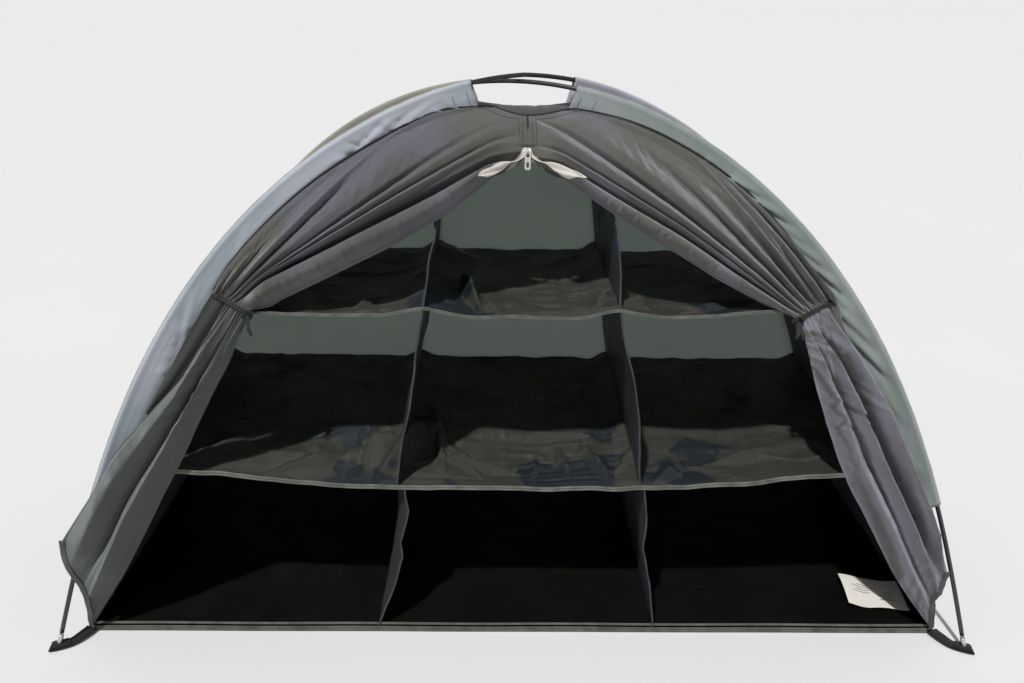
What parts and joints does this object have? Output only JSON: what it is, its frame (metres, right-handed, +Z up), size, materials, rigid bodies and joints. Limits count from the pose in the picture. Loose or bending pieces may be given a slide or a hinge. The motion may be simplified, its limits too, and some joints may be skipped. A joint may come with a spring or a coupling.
{
  "type": "dome storage tent",
  "caption": "Square-cornered dome storage tent on two crossed flexible poles, with a tied-back zipped door over a grid of open fabric compartments.",
  "frame": {"origin": "centre of the footprint, on the ground", "axes": "+X to the right of somebody who faces the door, +Y from the door to the back, +Z up"},
  "size_m": [1.2292, 0.5368, 0.71],
  "materials": {
    "panel_cloth": "tightly woven coated polyester, satin sheen",
    "sleeve_cloth": "light grey-blue woven polyester, satin",
    "wall_cloth": "grey-green woven polyester, slightly translucent, matt",
    "inner_cloth": "near-black coated nylon, glossy creases",
    "floor_cloth": "black coated floor cloth",
    "binding_tape": "grey ribbed edge tape, matt",
    "zip_tape": "off-white woven zip tape, matt",
    "label_cloth": "white woven label, matt",
    "webbing": "black woven webbing and ribbon, matt",
    "fibreglass": "black glass-fibre rod, smooth satin",
    "steel": "plain plated metal"
  },
  "bodies": {
    "tent": {"corner_strap_front_left": "webbing", "corner_strap_front_right": "webbing", "corner_strap_rear_left": "webbing", "corner_strap_rear_right": "webbing", "divider_lower_left": "inner_cloth", "divider_lower_right": "inner_cloth", "divider_middle_left": "inner_cloth", "divider_middle_right": "inner_cloth", "divider_upper_left": "inner_cloth", "divider_upper_right": "inner_cloth", "door_facing_left": "panel_cloth", "door_facing_right": "panel_cloth", "door_flap_left": "panel_cloth", "door_flap_right": "panel_cloth", "door_gather_left": "panel_cloth", "door_gather_right": "panel_cloth", "eyelet_front_left": "steel", "eyelet_front_right": "steel", "eyelet_rear_left": "steel", "eyelet_rear_right": "steel", "floor_front_binding": "binding_tape", "floor_panel": "floor_cloth", "header_left": "panel_cloth", "header_right": "panel_cloth", "header_seam_band": "panel_cloth", "left_wall": "wall_cloth", "pole_front_left_to_rear_right": "fibreglass", "pole_front_right_to_rear_left": "fibreglass", "pole_sleeve_front_left": "sleeve_cloth", "pole_sleeve_front_right": "sleeve_cloth", "pole_sleeve_rear_left": "sleeve_cloth", "pole_sleeve_rear_right": "sleeve_cloth", "pole_tip_front_left": "steel", "pole_tip_front_right": "steel", "pole_tip_rear_left": "steel", "pole_tip_rear_right": "steel", "rear_wall": "wall_cloth", "right_wall": "wall_cloth", "roof_patch": "panel_cloth", "shelf_lower": "inner_cloth", "shelf_lower_binding": "binding_tape", "shelf_upper": "inner_cloth", "shelf_upper_binding": "binding_tape", "tie_band_left": "webbing", "tie_band_right": "webbing", "tie_knot_left": "webbing", "tie_knot_right": "webbing", "zip_tape_left": "zip_tape", "zip_tape_right": "zip_tape"},
    "zip_slider": {"zip_slider": "steel"},
    "zip_puller": {"zip_puller": "steel"},
    "door_tail_left": {"door_tail_left": "panel_cloth"},
    "door_tail_right": {"door_tail_right": "panel_cloth"},
    "tie_tail_left": {"tie_tail_left": "webbing"},
    "tie_tail_right": {"tie_tail_right": "webbing"},
    "care_label": {"care_label": "label_cloth"}
  },
  "joints": [
    {"name": "zip_slide", "type": "slide", "parent": "tent", "child": "zip_slider", "axis": [0, -0.7071, -0.7071], "range_m": [0, 0.012]},
    {"name": "zip_puller_hinge", "type": "hinge", "parent": "zip_slider", "child": "zip_puller", "pos_m": [0.005, -0.08435, 0.62309], "axis": [-1, 0, 0], "range_deg": [0, 200]},
    {"name": "door_tail_left_swing", "type": "hinge", "parent": "tent", "child": "door_tail_left", "pos_m": [-0.336, -0.176, 0.425], "axis": [0.4768, 0.1054, 0.8727], "range_deg": [0, 50]},
    {"name": "door_tail_right_swing", "type": "hinge", "parent": "tent", "child": "door_tail_right", "pos_m": [0.346, -0.176, 0.425], "axis": [0.4601, -0.1064, -0.8815], "range_deg": [0, 50]},
    {"name": "tie_tail_left_swing", "type": "hinge", "parent": "tent", "child": "tie_tail_left", "pos_m": [-0.337, -0.1925, 0.4265], "axis": [-1, 0, 0], "range_deg": [0, 60]},
    {"name": "tie_tail_right_swing", "type": "hinge", "parent": "tent", "child": "tie_tail_right", "pos_m": [0.347, -0.1925, 0.4265], "axis": [-1, 0, 0], "range_deg": [0, 60]},
    {"name": "care_label_hinge", "type": "hinge", "parent": "tent", "child": "care_label", "pos_m": [0.56, -0.16, 0.0032], "axis": [0, 1, 0], "range_deg": [0, 60]}
  ]
}
